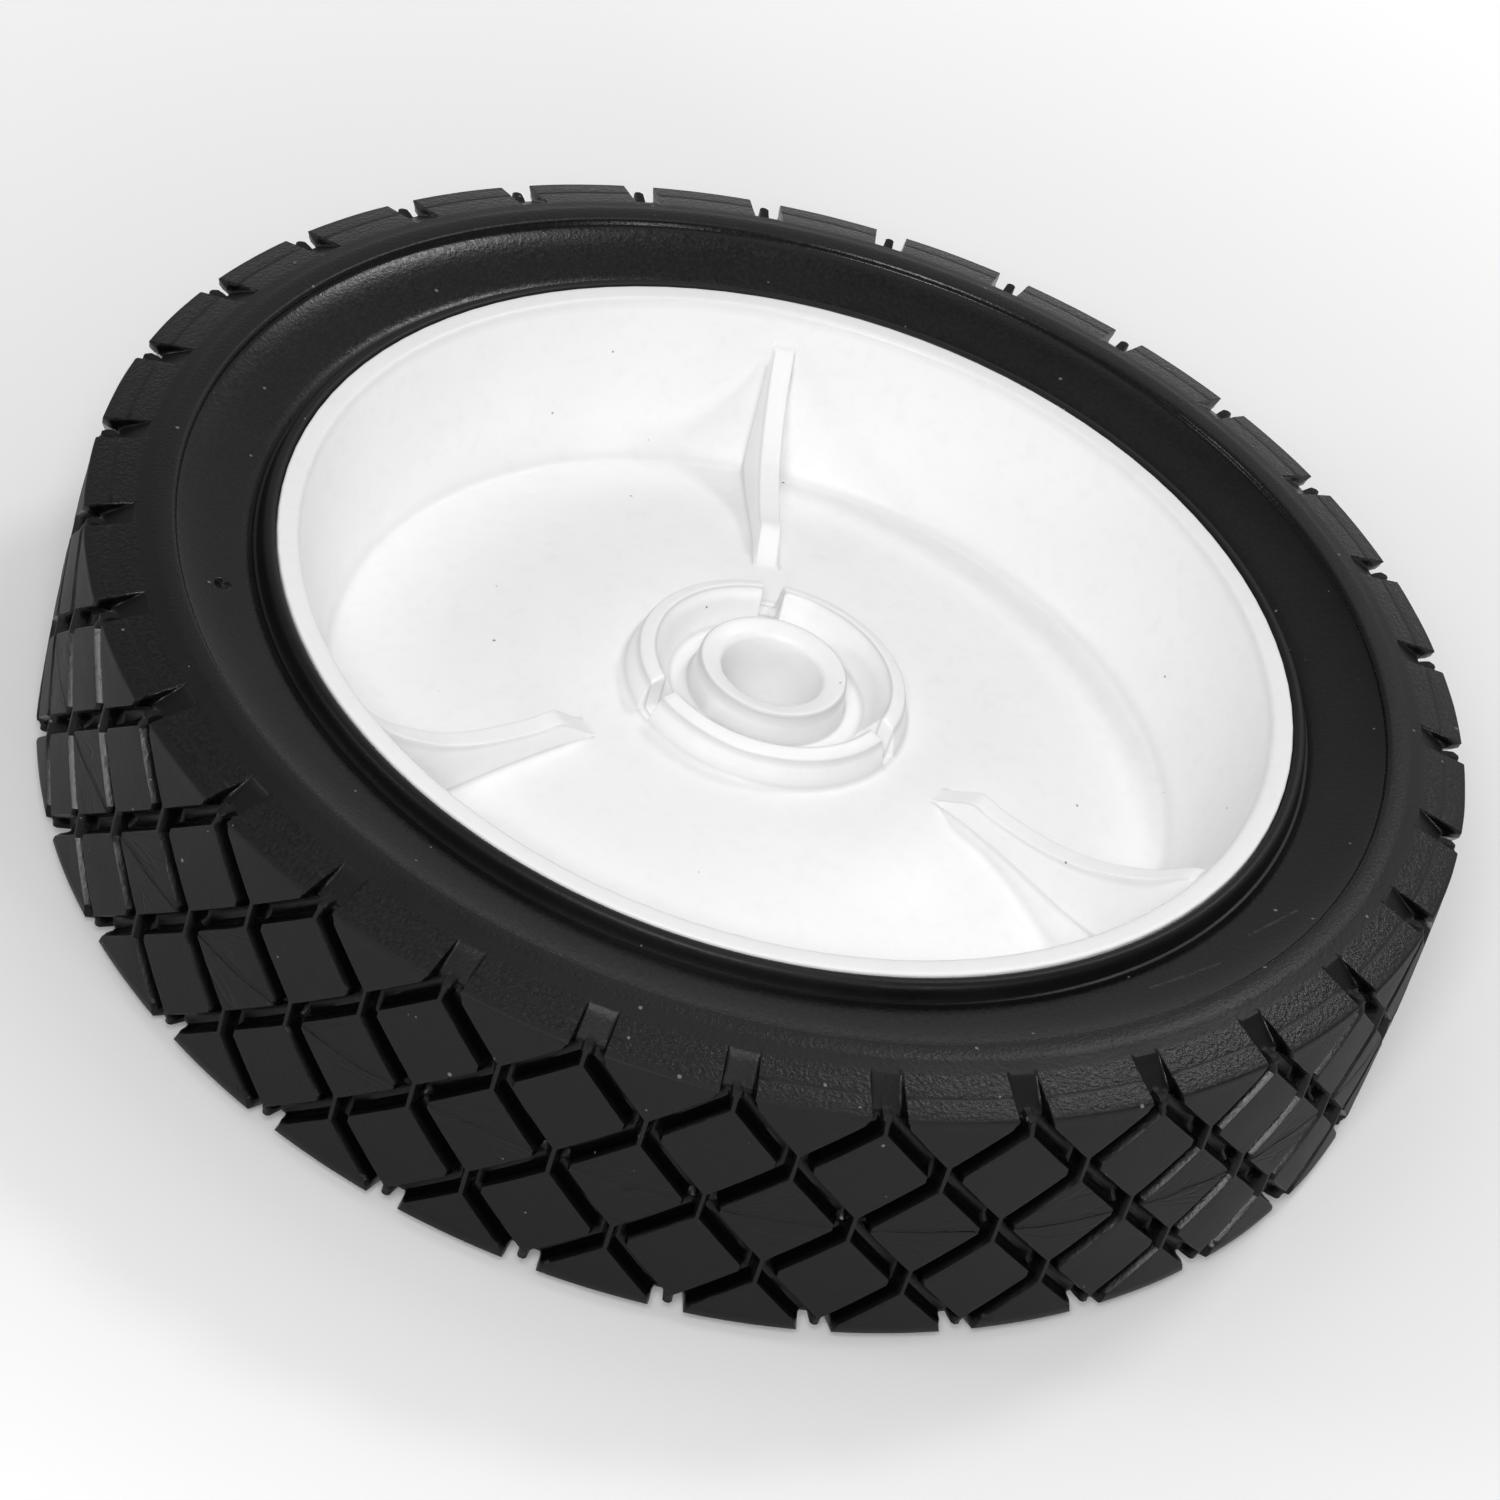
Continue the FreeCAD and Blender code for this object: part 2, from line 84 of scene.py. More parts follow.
def make_mesh(name, verts, faces):
    me = bpy.data.meshes.new(name)
    me.from_pydata([tuple(v) for v in (np.asarray(verts) * MM)], [], faces)
    me.validate()
    me.update()
    me.polygons.foreach_set("use_smooth", [True] * len(me.polygons))
    ob = bpy.data.objects.new(name, me)
    bpy.context.scene.collection.objects.link(ob)
    return ob


def keep_flats(ob, angle):
    """Large faces keep their own normals, so that only the small rounded edges turn the light."""
    ob.data.set_sharp_from_angle(angle=math.radians(angle))
    mod = ob.modifiers.new("weighted_normals", "WEIGHTED_NORMAL")
    mod.keep_sharp = True
    mod.weight = 60


# --------------------------------------------------------------------------------------------------
# tyre
# --------------------------------------------------------------------------------------------------
N = 31                       # diamonds round the tread
R = 88.55                    # tread radius of the block tops
HP = math.pi * R / N         # half a pitch along the tread
ROW = 8.58                   # axial step between groove crossings
SLOPE = ROW / HP
COSF = 1.0 / math.sqrt(1.0 + SLOPE * SLOPE)
END = 16.3                   # where the grooves open into the shoulder notches
DEPTH = 2.5
PHASE = math.radians(2.014)
# edge of a block from its top, down its wall, to the groove floor: offset into the groove, depth
EDGE = [(-0.17, 0.0), (-0.10, 0.04), (0.21, 0.86), (0.31, 1.75), (0.52, 2.28), (0.92, 2.5)]
# share of painted shade down the edge (darker colour in the grooves), which also sets the shinier finish of the groove
# walls
WALL_SHADE_AND_GLOSS = [0.0, 0.7, 1.0, 1.0, 0.8, 0.3]


def sizes(o):
    return 0.35 + o, 1.588 - o / COSF, 2.2 - o      # web half, axial groove half, blunt corner


def chain_n(o):
    """Right edge of the diamond column that carries the notches, top to bottom."""
    web, half, blunt = sizes(o)
    x2 = HP - blunt
    top = [(web, END), (web, 2 * ROW - half - SLOPE * web), (x2, 2 * ROW - half - SLOPE * x2),
           (x2, half + SLOPE * x2), (web, half + SLOPE * web)]
    return top + [(x, -z) for x, z in reversed(top)]


def chain_b(o):
    """Left edge of the next column, whose ends are the shoulder blocks, top to bottom."""
    web, half, blunt = sizes(o)
    first = (HP - (END - ROW - half) / SLOPE, END)
    third = (HP - web, ROW + half + SLOPE * web)
    second = tuple(lerp(first[k], third[k], 0.15) for k in (0, 1))
    top = [first, second, third, (HP - web, ROW - half - SLOPE * web),
           (blunt, ROW - half - SLOPE * (HP - blunt))]
    return top + [(x, -z) for x, z in reversed(top)]


LONG = [i / 6 for i in range(6)]
MIDDLE = [0.0, 0.16, 0.33, 0.5, 0.67, 0.84]
STEPS = [[0.0, 0.25, 0.6], LONG, [0.0, 0.25, 0.5, 0.75], LONG, MIDDLE]
STEPS = STEPS + [LONG, [0.0, 0.25, 0.5, 0.75], LONG, [0.0, 0.4, 0.75, 1.0]]
WEB_FALL = [0.42, 0.25, 0.1, 0.02]       # the web dips a little towards its outer end


def along(chain):
    out = []
    for seg, fracs in enumerate(STEPS):
        p, q = chain[seg], chain[seg + 1]
        out += [(lerp(p[0], q[0], t), lerp(p[1], q[1], t)) for t in fracs]
    return np.array(out)


def crown(z):
    return R - 0.00123 * z * z


# columns over half a pitch, from the notch column's axis to the next column's axis
COLS = [("n", i / 3, 0) for i in range(3)] + [("n", 1.0, k) for k in range(6)] + [("f", 0.5, 0)]
COLS += [("b", 1.0, k) for k in range(5, -1, -1)] + [("b", 1.0 - i / 4, 0) for i in range(1, 5)]
CHN = [along(chain_n(o)) for o, d in EDGE]
CHB = [along(chain_b(o)) for o, d in EDGE]
TREAD_ROWS = len(CHN[0])
MID_ROW = sum(len(s) for s in STEPS[:4])

# shoulder from the tread edge to the face ring: block top with its scored line, and the scooped notch floor
SH_TOP = [(88.29, 16.3), (88.24, 17.15), (88.2, 17.52), (88.1, 17.65), (87.9, 17.76), (86.8, 18.06), (85.5, 18.41),
          (85.28, 18.42), (85.08, 18.475), (84.85, 18.58), (83.6, 18.91), (82.4, 19.22), (81.7, 19.41), (81.05, 19.58),
          (80.6, 19.70)]
SH_LOW = [(85.74, 16.3), (85.75, 16.45), (85.75, 16.6), (85.75, 16.75), (85.72, 16.88), (85.25, 17.177), (84.9, 17.397),
          (84.5, 17.65), (84.1, 17.902), (83.7, 18.155), (83.3, 18.407), (82.33, 19.02), (82.15, 19.285), (81.6, 19.435),
          (80.6, 19.70)]
# outer end of the web, which stands as a small tooth over the notch floor
SH_WEB = {1: (87.78, 16.95), 2: (87.35, 17.2), 3: (86.5, 17.15), 4: (85.75, 16.98)}
BACK_ROWS = [0, 1, 3, 5, 9, 11, 13, 14]
GRAINED = {4: 0.6, 5: 1.0, 6: 0.9, 9: 0.9, 10: 1.0, 11: 0.8}


def half_pitch():
    """Half a pitch: rows of (x along the tread at R, r, z, share of painted shade and gloss, grain share, fold share).
    """
    rows = []
    for side in (1, -1):
        block = []
        picks = range(len(SH_TOP)) if side == 1 else BACK_ROWS
        for j in reversed(list(picks)[1:]):
            (rt, zt), (rl, zl) = SH_TOP[j], SH_LOW[j]
            line = []
            blend = min(1.0, j / 2.0)
            cut = 1.0 if j < 11 else 0.5 * (j == 11)
            # painted shade: the notch floors are painted a little darker, and finished a little shinier
            notch_floor_shade_and_gloss = 0.2 * cut
            for kind, frac, k in COLS:
                o, d = EDGE[k]
                q = d / DEPTH
                if kind == "n":
                    rn, zn = SH_WEB.get(j, (rl, zl)) if k < 3 else (rl, zl)
                    line.append(((0.35 + o) * frac, rn - 0.3 * (k == 2 and j in SH_WEB), zn * side, notch_floor_shade_and_gloss, 0.0,
                                 0.0))
                    continue
                xb = lerp(CHB[k][0][0], 2.1 - 0.35 * o, blend)
                if kind == "f":
                    o5 = EDGE[5][0]
                    xb = lerp(CHB[5][0][0], 2.1 - 0.35 * o5, blend)
                    line.append((0.5 * (0.35 + o5 + xb), rl, zl * side, notch_floor_shade_and_gloss, 0.0, 0.0))
                else:
                    x = HP - (HP - xb) * frac
                    mark = WALL_SHADE_AND_GLOSS[k] * cut if k < 5 else notch_floor_shade_and_gloss
                    line.append((x, lerp(rt, rl, q), lerp(zt, zl, q) * side, mark, GRAINED.get(j, 0.0) * (k < 2), 0.0))
            block.append(line)
        if side == 1:
            rows += block
            for i in range(TREAD_ROWS):
                line = []
                mid = i - MID_ROW
                for kind, frac, k in COLS:
                    o, d = EDGE[k]
                    fold = 0.0
                    if kind == "n":
                        x, z = CHN[k][i]
                        x *= frac
                        fall = min(i, TREAD_ROWS - 1 - i)
                        if fall < len(WEB_FALL):
                            d = max(d, WEB_FALL[fall])
                    elif kind == "b":
                        x, z = CHB[k][i]
                        x = HP - (HP - x) * frac
                        if abs(z) < 6.5 and k == 0:
                            fold = 1.0
                    else:
                        x, z = 0.5 * (CHN[5][i] + CHB[5][i])
                        d = DEPTH
                    # thin flash left across the groove floors at the mould's parting plane
                    if 2 <= mid <= 4 and d > 1.6:
                        d = min(d, 1.55 if mid == 3 else 2.1)
                    # groove walls and the middle of the groove floor carry painted shade
                    line.append((x, crown(z) - d, z, WALL_SHADE_AND_GLOSS[k] if kind != "f" else 0.3, 0.0, fold))
                rows.append(line)
        else:
            rows += block[::-1]
    return rows


# sidewall from the face ring inward to the bead and down to the seat under the rim lip
SIDE = [(80.25, 19.82), (79.9, 19.9), (79.3, 19.98), (78.6, 20.0), (77.95, 20.0), (77.65, 19.94), (77.42, 19.78),
        (77.3, 19.5), (77.22, 19.26), (77.1, 19.1), (76.85, 18.95), (76.4, 18.75), (75.8, 18.53), (75.2, 18.33),
        (74.4, 18.1), (73.4, 17.86), (72.2, 17.62), (70.6, 17.33), (69.2, 17.08), (68.4, 16.87), (67.9, 16.6), (67.5, 16.36), (67.15, 16.42),
        (66.95, 16.8), (66.86, 17.4), (66.78, 17.9), (66.62, 18.32), (66.35, 18.58), (66.0, 18.68), (65.6, 18.66),
        (65.25, 18.5), (65.06, 18.2), (65.02, 17.4), (65.0, 16.0), (64.3, 16.0)]
SIDE_BACK = [(80.25, 19.86), (79.9, 20.0), (77.6, 20.0), (77.38, 19.78), (77.0, 19.3), (76.2, 18.8), (74.8, 18.17),
             (72.2, 17.46), (69.2, 17.00), (68.0, 16.7), (67.5, 16.55), (66.95, 16.9), (66.8, 17.9), (66.35, 18.58),
             (65.6, 18.66), (65.06, 18.2), (65.0, 16.0), (64.3, 16.0)]
WELL = [(60.6, 1.0), (60.6, -6.0)]
SIDE_COLS = 12
# the tyre sits a little off centre on its rim
OFF_X, OFF_Y = 0.38 * math.cos(math.radians(130.0)), 0.38 * math.sin(math.radians(130.0))


def set_point(r, a, z):
    t = min(1.0, max(0.0, (r - 67.5) / 11.0))
    t = t * t * (3 - 2 * t)
    return (r * math.cos(a) + OFF_X * t, r * math.sin(a) + OFF_Y * t, z)


def uneven(a, r, z, size, seed):
    return noise.noise(Vector((r * math.cos(a) / size + seed, r * math.sin(a) / size, z / size)))


def build_tyre():
    half = half_pitch()
    rows = len(half)
    ncol = len(COLS)
    verts, faces, marks, places, gloss = [], [], [], [], []
    # tread columns over one pitch: half, then its mirror image, sharing the axes
    per = 2 * (ncol - 1)
    total = per * N
    grid = np.zeros((rows, total, 3))
    first_tread = len(SH_TOP) - 1
    mid_row = first_tread + MID_ROW
    info = []
    for i, line in enumerate(half):
        xs = np.array([p[0] for p in line])
        px = np.concatenate([xs, 2 * HP - xs[-2:0:-1]])
        rest = [np.array([p[k] for p in line]) for k in range(1, 6)]
        pr, pz, pw, pg, pf = [np.concatenate([q, q[-2:0:-1]]) for q in rest]
        info.append((px, pw, pg, pf))
        for n in range(N):
            s = slice(n * per, (n + 1) * per)
            grid[i, s, 0] = PHASE + (px + 2 * HP * n) / R
            grid[i, s, 1] = pr
            grid[i, s, 2] = pz
    index = {}
    for i in range(rows):
        px, pw, pg, pf = info[i]
        mid = i - mid_row
        for j in range(total):
            a, r, z = grid[i, j]
            c = j % per
            if pf[c] > 0.5:
                # row of diamonds on the parting plane: the moulded halves meet in a wandering crease
                share = math.exp(-(z / 1.6) ** 2)
                ends = max(0.0, 1.0 - ((px[c] - HP) / 6.9) ** 2)
                z += 0.55 * share * ends * uneven(a, R, 0.0, 5.0, 7.0)
                if 0 <= mid <= 6:
                    dip = 0.6 + 0.9 * abs(uneven(a, R, 0.0, 3.0, 31.0))
                    r -= dip * (0.0, 0.0, 0.05, 0.26, 0.02, 0.0, 0.0)[mid]
                    r += 0.05 * (mid in (1, 2))
            if first_tread <= i < first_tread + TREAD_ROWS and pw[c] < 0.5:
                r += 0.05 * uneven(a, r, z, 7.0, 3.0) + 0.03 * uneven(a, r, z, 2.5, 11.0)
            elif pw[c] < 0.5:
                r += 0.05 * uneven(a, r, z, 6.0, 19.0)
            index[i, j] = len(verts)
            verts.append(set_point(r, a, z))
            marks.append((pw[c], pg[c], pf[c]))
            places.append((px[c] - HP, z, float(j // per)))
            gloss.append((0.0, float(first_tread - 4 <= i < first_tread + TREAD_ROWS), 0.0))
    for i in range(rows - 1):
        for j in range(total):
            k = (j + 1) % total
            faces.append((index[i, j], index[i + 1, j], index[i + 1, k], index[i, k]))
    # sidewall rings
    ring_n = SIDE_COLS * N
    ring_a = PHASE + np.arange(ring_n) * TAU / ring_n

    def ring(r, z):
        first = len(verts)
        for a in ring_a:
            verts.append(set_point(r, a, z))
            marks.append((0.0, 0.35 if r > 77.6 else 0.0, 0.0))
            places.append((0.0, z, 0.0))
            gloss.append((1.0 if 68.0 < r < 77.5 else 0.0, 0.0, 0.0))
        return first

    def stitch(tread_row, first, flip):
        """Joins the uneven tread ring to an even ring."""
        ta = grid[tread_row, :, 0] - PHASE
        ra = ring_a - PHASE
        i = j = 0
        while i < total or j < ring_n:
            na = ta[i + 1] if i + 1 < total else (TAU if i + 1 == total else 1e9)
            nb = ra[j + 1] if j + 1 < ring_n else (TAU if j + 1 == ring_n else 1e9)
            t0, r0 = index[tread_row, i % total], first + j % ring_n
            if na <= nb:
                f = (t0, index[tread_row, (i + 1) % total], r0)
                i += 1
            else:
                f = (t0, first + (j + 1) % ring_n, r0)
                j += 1
            faces.append(f[::-1] if flip else f)

    def strip(f0, f1, flip):
        for j in range(ring_n):
            k = (j + 1) % ring_n
            q = (f0 + j, f0 + k, f1 + k, f1 + j)
            faces.append(q[::-1] if flip else q)

    top = [ring(r, z) for r, z in SIDE]
    stitch(0, top[0], False)
    for f0, f1 in zip(top, top[1:]):
        strip(f0, f1, False)
    low = [ring(r, -z) for r, z in SIDE_BACK]
    stitch(rows - 1, low[0], True)
    for f0, f1 in zip(low, low[1:]):
        strip(f0, f1, True)
    inner = [top[-1]] + [ring(r, z) for r, z in WELL] + [low[-1]]
    for f0, f1 in zip(inner, inner[1:]):
        strip(f0, f1, False)
    ob = make_mesh("tyre_moulding", verts, faces)
    for name, values in (("marks", marks), ("place", places), ("gloss", gloss)):
        att = ob.data.attributes.new(name, "FLOAT_VECTOR", "POINT")
        att.data.foreach_set("vector", np.asarray(values, float).ravel())
    return ob


# --------------------------------------------------------------------------------------------------
# wheel hub
# --------------------------------------------------------------------------------------------------
RIB = math.radians(46.3)
SECTOR = TAU / 3.0
# distance from the rib's mid-line, and how much of the rib's height stands there
RIB_W = [0.0, 0.55, 0.95, 1.18, 1.30, 1.40, 1.47, 1.62, 1.70, 1.80, 2.0, 2.35, 2.9, 3.8, 5.0]
RIB_F = [1.0, 1.0, 1.0, 0.995, 0.98, 0.94, 0.86, 0.10, 0.045, 0.02, 0.006, 0.0, 0.0, 0.0, 0.0]
# painted shade along the feet of the ribs and at the edges and feet of the ring and the boss: radius, width, strength
RIB_FOOT_SHADE = [0.0] * 4 + [0.4, 0.45, 0.05, 0.1, 0.7, 0.5, 0.2, 0.0, 0.0, 0.0, 0.0]
SHADE_LINES = [(10.2, 0.28, 0.8), (12.5, 0.22, 0.6), (17.25, 0.14, 0.8), (18.3, 0.22, 0.5), (9.45, 0.15, 1.0), (15.2, 0.14, 0.8)]
MID = 30
dome = spline([17.0, 18.3, 25.5, 32.0, 39.0, 46.0, 53.0, 55.0], [4.72, 4.70, 4.40, 3.40, 1.60, -0.72, -2.36, -2.72])
rib_top = spline([25.0, 27.0, 29.5, 31.0, 33.0, 36.0, 40.0, 44.0, 47.7, 51.0, 54.0, 57.0, 59.4, 61.2],
                 [4.0, 5.0, 6.5, 7.15, 6.75, 6.3, 6.1, 6.4, 7.2, 8.5, 10.0, 12.0, 13.8, 14.3])

HUB_FRONT = [(6.5, -19.0), (6.5, -12.0), (6.5, -4.0), (6.5, 3.0), (6.5, 6.3), (6.5, 7.75), (6.57, 8.2), (6.75, 8.5),
             (7.02, 8.7), (7.35, 8.83), (8.0, 9.02), (8.7, 9.2), (9.12, 9.27), (9.36, 9.19), (9.5, 8.98), (9.56, 8.6),
             (9.72, 7.3), (9.9, 6.0), (10.02, 5.4), (10.2, 5.02), (10.55, 4.84), (11.0, 4.8), (11.5, 4.8),
             (11.9, 4.81), (12.3, 4.88), (12.62, 5.08), (12.9, 5.42), (13.3, 6.08), (13.8, 6.95), (14.3, 7.8),
             (14.75, 8.58), (15.02, 9.02), (15.22, 9.28), (15.45, 9.42), (15.75, 9.40), (16.2, 9.22), (16.65, 9.02),
             (16.98, 8.84), (17.2, 8.62), (17.36, 8.25), (17.55, 7.6), (17.85, 6.5), (18.08, 5.65), (18.25, 5.2),
             (18.5, 4.9), (18.9, 4.76)]
HUB_FRONT += [(r, dome(r)) for r in (19.5, 20.3, 21.2, 22.2, 23.2, 24.2, 25.0, 25.6, 26.2, 26.8, 27.4, 28.0, 28.6, 29.2,
                                     29.8, 30.3, 30.7, 31.1, 31.6, 32.2, 33.0, 34.0, 35.2, 36.5, 38.0, 39.5, 41.0, 42.5,
                                     44.0, 45.5, 47.0, 48.5, 50.0, 51.3, 52.4)]
FOOT = [(53.6, dome(53.6)), (55.35, -2.8), (56.35, 0.56)]
HUB_FRONT += bend(*FOOT, 9)
HUB_FRONT += [(lerp(56.35, 61.75, i / 16), lerp(0.56, 17.1, i / 16)) for i in range(1, 17)]
HUB_FRONT += [(61.98, 17.75), (62.12, 18.15), (62.3, 18.45), (62.55, 18.62), (62.85, 18.68), (63.4, 18.7), (64.2, 18.7),
              (64.7, 18.68), (64.9, 18.58), (64.98, 18.3), (65.0, 17.6), (65.0, 16.0), (64.3, 16.0)]
HUB_BACK = [(60.6, 1.0), (60.6, -6.0), (64.3, -16.0), (65.0, -16.0), (65.0, -18.3), (64.9, -18.6), (64.6, -18.7),
            (63.2, -18.7), (62.4, -18.66), (62.1, -18.5), (61.9, -18.1), (59.6, -12.5), (58.0, -8.6), (57.4, -7.2),
            (56.6, -6.35), (55.4, -5.9), (53.0, -5.6), (50.0, -5.05), (46.0, -4.0), (42.5, -2.86), (39.0, -1.65),
            (35.5, -0.6), (32.0, 0.2), (28.5, 0.78), (25.5, 1.16), (21.5, 1.42), (17.0, 1.5), (13.0, 1.48),
            (11.6, 1.35), (11.0, 0.95), (10.78, 0.3), (10.6, -9.0), (10.4, -18.9), (10.3, -19.12), (10.05, -19.2),
            (8.4, -19.2), (6.9, -19.2), (6.6, -19.13), (6.5, -19.0)]


def hub_angles(r):
    """Angles of the columns at radius r: even round the boss, square to the ribs and slots further out."""
    scale = 1.0 if r > 22.0 else (1.3 / 1.545 if r < 19.0 else lerp(1.3 / 1.545, 1.0, (r - 19.0) / 3.0))
    rr = max(r, 12.0)
    near = [math.asin(min(0.95, w * scale / rr)) for w in RIB_W]
    a0, a1 = near[-1], SECTOR - near[-1]
    mid = [lerp(a0, a1, i / MID) for i in range(1, MID)]
    fitted = np.array(near + mid + [SECTOR - a for a in near[:0:-1]])
    even = np.arange(len(fitted)) * SECTOR / len(fitted)
    t = min(1.0, max(0.0, (r - 10.4) / 1.8))
    t = t * t * (3 - 2 * t)
    one = even * (1 - t) + fitted * t
    return RIB + np.concatenate([one + k * SECTOR for k in range(3)])


def column_share():
    one = RIB_F + [0.0] * (MID - 1) + RIB_F[:0:-1]
    return np.array(one * 3)


def build_hub():
    verts, faces, marks = [], [], []
    share = column_share()
    cols = len(share)
    foot = np.array((RIB_FOOT_SHADE + [0.0] * (MID - 1) + RIB_FOOT_SHADE[:0:-1]) * 3)
    rows = []
    for r, z in HUB_FRONT:
        line = np.full(cols, float(z))
        if 24.0 < r < 61.2:
            h = rib_top(r)
            if r < 26.0:
                h = lerp(z, h, (r - 24.0) / 2.0)
            line = z + share * max(0.0, h - z)
        elif 12.0 < r < 18.9:
            line = np.minimum(z, z + share * (4.8 - z))
        rows.append((r, line))
    front_rows = len(rows)
    for r, z in HUB_BACK[:-1]:
        rows.append((r, np.full(cols, float(z))))
    for i, (r, line) in enumerate(rows):
        ang = hub_angles(r)
        # painted shade: darker lines at the edges and feet of the boss and ring, a darker band at the foot of the dish
        # wall, a darker lip with a darker line at its inner edge
        painted_shade = max(w * math.exp(-((r - c) / d) ** 2) for c, d, w in SHADE_LINES) if line[MID] > 0 and r < 20.0 else 0.0
        if line[MID] > -4.0 and 53.0 < r < 58.0:
            painted_shade = 0.25 * math.exp(-((r - 54.9) / 0.6) ** 2)
        if line[MID] > 17.5 and r > 61.9:
            painted_shade = 0.14 + 0.2 * math.exp(-((r - 62.2) / 0.15) ** 2)
        for a, z, f in zip(ang, line, foot):
            verts.append((r * math.cos(a), r * math.sin(a), z))
            # painted shade along the rib feet; the band at the foot of the dish wall is left off the ribs
            on_rib = 53.0 < r < 58.0 and z > line[MID] + 0.3
            marks.append((max(0.0 if on_rib else painted_shade, f if i < front_rows and 26.0 < r < 60.0 else 0.0), 0.0, 0.0))
    count = len(rows)
    for i in range(count):
        n = (i + 1) % count
        for j in range(cols):
            k = (j + 1) % cols
            faces.append((i * cols + j, n * cols + j, n * cols + k, i * cols + k))
    ob = make_mesh("hub_moulding", verts, faces)
    att = ob.data.attributes.new("marks", "FLOAT_VECTOR", "POINT")
    att.data.foreach_set("vector", np.asarray(marks, float).ravel())
    return ob


# --------------------------------------------------------------------------------------------------
# materials
# --------------------------------------------------------------------------------------------------
def new_material(name):
    mat = bpy.data.materials.new(name)
    mat.use_nodes = True
    nt = mat.node_tree
    nt.nodes.clear()
    out = nt.nodes.new("ShaderNodeOutputMaterial")
    bsdf = nt.nodes.new("ShaderNodeBsdfPrincipled")
    nt.links.new(bsdf.outputs["BSDF"], out.inputs["Surface"])
    return mat, nt, bsdf


def node(nt, kind, **sets):
    n = nt.nodes.new(kind)
    for key, val in sets.items():
        setattr(n, key, val)
    return n


def noise_node(nt, coord, scale, detail=3.0, rough=0.55):
    n = nt.nodes.new("ShaderNodeTexNoise")
    n.inputs["Scale"].default_value = scale
    n.inputs["Detail"].default_value = detail
    n.inputs["Roughness"].default_value = rough
    nt.links.new(coord, n.inputs["Vector"])
    return n.outputs["Fac"]


def ramp(nt, fac, stops):
    n = nt.nodes.new("ShaderNodeValToRGB")
    n.color_ramp.elements[0].position, n.color_ramp.elements[0].color = stops[0][0], stops[0][1]
    n.color_ramp.elements[1].position, n.color_ramp.elements[1].color = stops[-1][0], stops[-1][1]
    for pos, col in stops[1:-1]:
        e = n.color_ramp.elements.new(pos)
        e.color = col
    nt.links.new(fac, n.inputs["Fac"])
    return n.outputs["Color"]


def grey(v, a=1.0):
    return (v, v, v, a)


def math_node(nt, op, a, b=None, c=None):
    n = nt.nodes.new("ShaderNodeMath")
    n.operation = op
    for k, v in enumerate((a, b, c)):
        if v is None:
            continue
        if isinstance(v, (int, float)):
            n.inputs[k].default_value = v
        else:
            nt.links.new(v, n.inputs[k])
    return n.outputs[0]


def mix_value(nt, fac, a, b):
    """Blend of two numbers by a mask."""
    n = nt.nodes.new("ShaderNodeMix")
    n.data_type = "FLOAT"
    for key, v in ((0, fac), (2, a), (3, b)):
        if isinstance(v, (int, float)):
            n.inputs[key].default_value = v
        else:
            nt.links.new(v, n.inputs[key])
    return n.outputs[0]


def mix_colour(nt, fac, a, b):
    n = nt.nodes.new("ShaderNodeMix")
    n.data_type = "RGBA"
    for key, v in ((0, fac), (6, a), (7, b)):
        if isinstance(v, (int, float, tuple)):
            n.inputs[key].default_value = v
        else:
            nt.links.new(v, n.inputs[key])
    return n.outputs[2]


def attribute(nt, name):
    n = nt.nodes.new("ShaderNodeAttribute")
    n.attribute_type = "GEOMETRY"
    n.attribute_name = name
    s = nt.nodes.new("ShaderNodeSeparateXYZ")
    nt.links.new(n.outputs["Vector"], s.inputs[0])
    return s.outputs


def dots(nt, coord, scale, radius, keep):
    """Small round specks: 1 inside a speck."""
    v = nt.nodes.new("ShaderNodeTexVoronoi")
    v.inputs["Scale"].default_value = scale
    nt.links.new(coord, v.inputs["Vector"])
    s = nt.nodes.new("ShaderNodeSeparateColor")
    nt.links.new(v.outputs["Color"], s.inputs[0])
    size = math_node(nt, "MULTIPLY", s.outputs[1], radius)
    inside = math_node(nt, "LESS_THAN", v.outputs["Distance"], size)
    return math_node(nt, "MULTIPLY", inside, math_node(nt, "LESS_THAN", s.outputs[0], keep))


def bump_node(nt, height, strength, distance, under=None):
    b = nt.nodes.new("ShaderNodeBump")
    if isinstance(strength, (int, float)):
        b.inputs["Strength"].default_value = strength
    else:
        nt.links.new(strength, b.inputs["Strength"])
    b.inputs["Distance"].default_value = distance
    nt.links.new(height, b.inputs["Height"])
    if under is not None:
        nt.links.new(under, b.inputs["Normal"])
    return b.outputs["Normal"]


# faint pale scuffs on the sidewall: ends as radius in mm and angle in degrees
SCUFFS = [((71.5, 264.2), (72.7, 272.8)), ((71.7, 278.9), (73.7, 285.4))]


